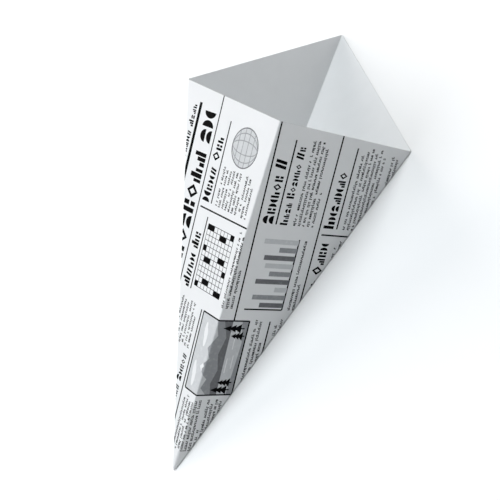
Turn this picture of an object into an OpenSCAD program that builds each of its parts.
// Paper cone for hot snacks, lying on its side.
// One triangular sheet, cut straight across the rim, is folded into four panels that meet at the tip.
// The sheet's last edge wraps round the back crease and is glued to the outside of the next panel.

/* [Blank] */
// Length of the front crease, from the point where the folds would meet to the rim
front_crease = 190; // [120:1:260]
// Angle of each panel at the tip, in degrees
panel_angle = 22.5; // [19:0.5:26]
// Thickness of the paper
paper_t = 0.4; // [0.2:0.05:0.6]

/* [Opening] */
// Angle between the middle of the mouth and each side fold when the cone is held open, in degrees
side_spread = 17.2; // [12:0.1:18]

/* [Folds] */
// Outside radius of the sharp front and back creases, and of the tip
crease_r = 0.75; // [0.7:0.05:1.5]
// Outside radius of the side folds at the rim
side_fold_r = 0.9; // [0.7:0.1:4]

/* [Tip] */
// How far up each fold the blunt nose reaches, from the point where the creases' own axes meet
nose_run = 1.2; // [0.6:0.1:4]
// Outside radius of the front crease where it is softest, near the tip
soft_r = 1.5; // [0.75:0.05:1.8]
// How far above the nose the front crease is softest
soft_run = 5; // [2:0.5:12]
// How far above that the front crease is sharp again
soft_fade = 16; // [6:1:40]

/* [Glue lap] */
// Width of the glued lap at the rim, square to the back crease
lap_w = 14; // [6:1:24]

/* [Hidden] */

// Facets round each fold, and rings of facets over the nose
fold_steps = 8;
nose_rings = 4;
// Where the lap's free edge starts at the nose, as a share of the way from the back to the left fold
lap_start_share = 0.5;

// The folds run anticlockwise round the mouth, seen from above the open cone: front, right, back, left.
// Panel k lies between fold k and the next one.
FRONT = 0;
RIGHT = 1;
BACK = 2;
LEFT = 3;
folds = [FRONT, RIGHT, BACK, LEFT];
resting_panel = RIGHT;
lap_panel = BACK;

function unit(v) = v / norm(v);
function mix(a, b, share) = a + (b - a) * share;
function next(k) = (k + 1) % len(folds);
function before(k) = (k + len(folds) - 1) % len(folds);

// The open cone stands on its tip, with the folds' meeting point at the origin
front_spread = acos(cos(panel_angle) / cos(side_spread));
fold_dirs = [
    [0, -sin(front_spread), cos(front_spread)],
    [sin(side_spread), 0, cos(side_spread)],
    [0, sin(front_spread), cos(front_spread)],
    [-sin(side_spread), 0, cos(side_spread)]
];

// The rim is one straight cut across the blank, square to the front crease
side_fold = front_crease / cos(panel_angle);
back_crease = front_crease / cos(2 * panel_angle);
fold_lengths = [front_crease, side_fold, back_crease, side_fold];
fold_radii = [crease_r, side_fold_r, crease_r, side_fold_r];
corners = [for (k = folds) fold_lengths[k] * fold_dirs[k]];
normals = [for (k = folds) unit(cross(fold_dirs[next(k)], fold_dirs[k]))];

// Turn of the paper at fold k, and the outward direction part of the way round it
function turn(k) = acos(normals[before(k)] * normals[k]);
function facing(k, share) =
    let (whole = turn(k))
    (sin((1 - share) * whole) * normals[before(k)] + sin(share * whole) * normals[k]) / sin(whole);

// Point on the rim between corners k and j that lies a given distance from fold k
function rim_point(k, j, distance) =
    let (along = unit(corners[j] - corners[k]))
    corners[k] + along * distance / norm(cross(along, fold_dirs[k]));

// Ends of a fold's axis at the rim, one for each side, for its plain outside radius
function axis_ends(k) =
    let (r = fold_radii[k], reach = r * tan(turn(k) / 2))
    [
        rim_point(k, before(k), reach) - r * normals[before(k)],
        rim_point(k, next(k), reach) - r * normals[k]
    ];

// The same where the back fold wraps over the panel that the lap is glued to
wrap_r = crease_r + paper_t;
wrap_reach = wrap_r * tan(turn(BACK) / 2);
wrap_start = wrap_reach - paper_t / sin(turn(BACK));
wrap_end = wrap_reach + paper_t / tan(turn(BACK));
wrap_ends = [
    rim_point(BACK, before(BACK), wrap_start) - wrap_r * normals[before(BACK)],
    rim_point(BACK, next(BACK), wrap_end) - crease_r * normals[BACK]
];

// Places where the folds' axes start, just above the point where they would meet
nose_centre = [0, 0, crease_r / -normals[FRONT].z];
function nose_axis(k) = nose_centre + nose_run * fold_dirs[k];
function wrap_growth(k, share) = k == BACK ? paper_t * share * share : 0;

// The front crease is soft near the tip. These are its distances from the folds' meeting point and its
// outside radii: at the nose, where it is softest, and where it is sharp again.
front_nose = nose_centre * fold_dirs[FRONT] + nose_run;
front_stops = [front_nose, front_nose + soft_run, front_nose + soft_run + soft_fade];
softest_r = max(soft_r, crease_r);
front_radii = [(crease_r + softest_r) / 2, softest_r, crease_r];

// Axis point of a fold of radius r, at a distance from the folds' meeting point
function fold_axis(k, distance, r) =
    let (a = normals[before(k)], b = normals[k])
    distance * fold_dirs[k] - r * (a + b) / (1 + a * b);

// A column runs up the paper from the nose to the rim. It holds the axis point, outward direction and
// radius at the nose, the point at the rim, and two stops on the way: in the front crease's columns
// these are where it is softest and where it is sharp again, and in the others they lie on a straight line.
fold_shares = [for (i = [0:fold_steps]) i / fold_steps];
stop_shares = [soft_run / front_crease, (soft_run + soft_fade) / front_crease];

function straight_column(axis, out, r, rim) =
    [axis, out, r, rim, [for (share = stop_shares) mix(axis + r * out, rim, share)]];

function front_column(out, wall, rim) = [
    fold_axis(FRONT, front_stops[0], front_radii[0]),
    out,
    front_radii[0] - wall,
    rim,
    [for (i = [1, 2]) fold_axis(FRONT, front_stops[i], front_radii[i]) + (front_radii[i] - wall) * out]
];

function outer_fold(k) =
    let (ends = k == BACK ? wrap_ends : axis_ends(k))
    let (r = k == BACK ? wrap_r : fold_radii[k])
    [for (s = fold_shares)
        let (out = facing(k, s), rim = mix(ends[0], ends[1], s) + r * out)
        k == FRONT
            ? front_column(out, 0, rim)
            : straight_column(nose_axis(k), out, crease_r + wrap_growth(k, s), rim)];

function inner_fold(k) =
    let (ends = axis_ends(k), r = fold_radii[k] - paper_t)
    [for (s = fold_shares)
        let (out = facing(k, s), rim = mix(ends[0], ends[1], s) + r * out)
        k == FRONT
            ? front_column(out, paper_t, rim)
            : straight_column(nose_axis(k), out, crease_r - paper_t, rim)];

// Free edge of the lap: its outer edge, then the foot of the step down to the panel
lap_nose = mix(nose_axis(BACK), nose_axis(LEFT), lap_start_share);
lap_foot = rim_point(BACK, LEFT, lap_w);
lap_columns = [for (rise = [paper_t, 0])
    let (out = normals[lap_panel])
    straight_column(lap_nose, out, crease_r + rise, lap_foot + rise * out)];

outer_columns = concat(
    outer_fold(FRONT),
    outer_fold(RIGHT),
    outer_fold(BACK),
    lap_columns,
    outer_fold(LEFT)
);
inner_columns = [for (k = folds) each inner_fold(k)];
outer_count = len(outer_columns);
inner_count = len(inner_columns);

// Inner column behind each outer one. Both columns of the lap's edge stand on the back fold's last one.
back_end = 3 * len(fold_shares) - 1;
lap_end = back_end + len(lap_columns);
function behind(i) = i <= back_end ? i : i <= lap_end ? back_end : i - len(lap_columns);

// Rings of points: from the rim past the two stops to the start of the nose, and then over it
stop_count = len(stop_shares);
ring_count = 1 + stop_count + nose_rings;
function nose_point(c, pole_r, share) =
    let (r = mix(c[2], pole_r, share))
    mix(c[0], nose_centre, share) + r * unit(cos(90 * share) * c[1] - [0, 0, sin(90 * share)]);
function rings(columns, pole_r) = concat(
    [for (c = columns) c[3]],
    [for (i = [stop_count - 1:-1:0], c = columns) c[4][i]],
    [for (ring = [0:nose_rings - 1], c = columns) nose_point(c, pole_r, ring / nose_rings)],
    [nose_centre - [0, 0, pole_r]]
);

outer_points = rings(outer_columns, crease_r);
inner_points = rings(inner_columns, crease_r - paper_t);
inner_start = len(outer_points);

// Triangles of one skin, seen from outside, and of the cut edge that joins the two skins at the rim
function skin(count, start, flip) =
    let (pole = start + ring_count * count)
    [for (face = concat(
        [for (ring = [0:ring_count - 2], i = [0:count - 1])
            let (a = start + ring * count + i, b = start + ring * count + (i + 1) % count)
            each [[a, b, b + count], [a, b + count, a + count]]],
        [for (i = [0:count - 1]) [pole - count + i, pole - count + (i + 1) % count, pole]]
    )) flip ? [face[2], face[1], face[0]] : face];

cut_edge = [for (i = [0:outer_count - 1])
    let (j = (i + 1) % outer_count, p = inner_start + behind(i), q = inner_start + behind(j))
    each p == q ? [[j, i, q]] : [[j, i, q], [q, i, p]]];

// The cone lies on one panel: that panel faces down, and its middle runs along Y from tip to mouth
up = -normals[resting_panel];
along = unit(fold_dirs[resting_panel] + fold_dirs[next(resting_panel)]);
across = cross(along, up);
function laid(p) = [p * across, p * along, p * up];

standing_points = concat(outer_points, inner_points);
laid_points = [for (p = standing_points) laid(p)];
function spots(axis) = [for (p = laid_points) p[axis]];
function middle(axis) = (min(spots(axis)) + max(spots(axis))) / 2;
origin_shift = [-middle(0), -middle(1), 0];

module paper_cone() {
    color("whitesmoke")
        polyhedron(
            points = [for (p = laid_points) p + origin_shift],
            faces = concat(
                skin(outer_count, 0, false),
                skin(inner_count, inner_start, true),
                cut_edge
            )
        );
}

paper_cone();
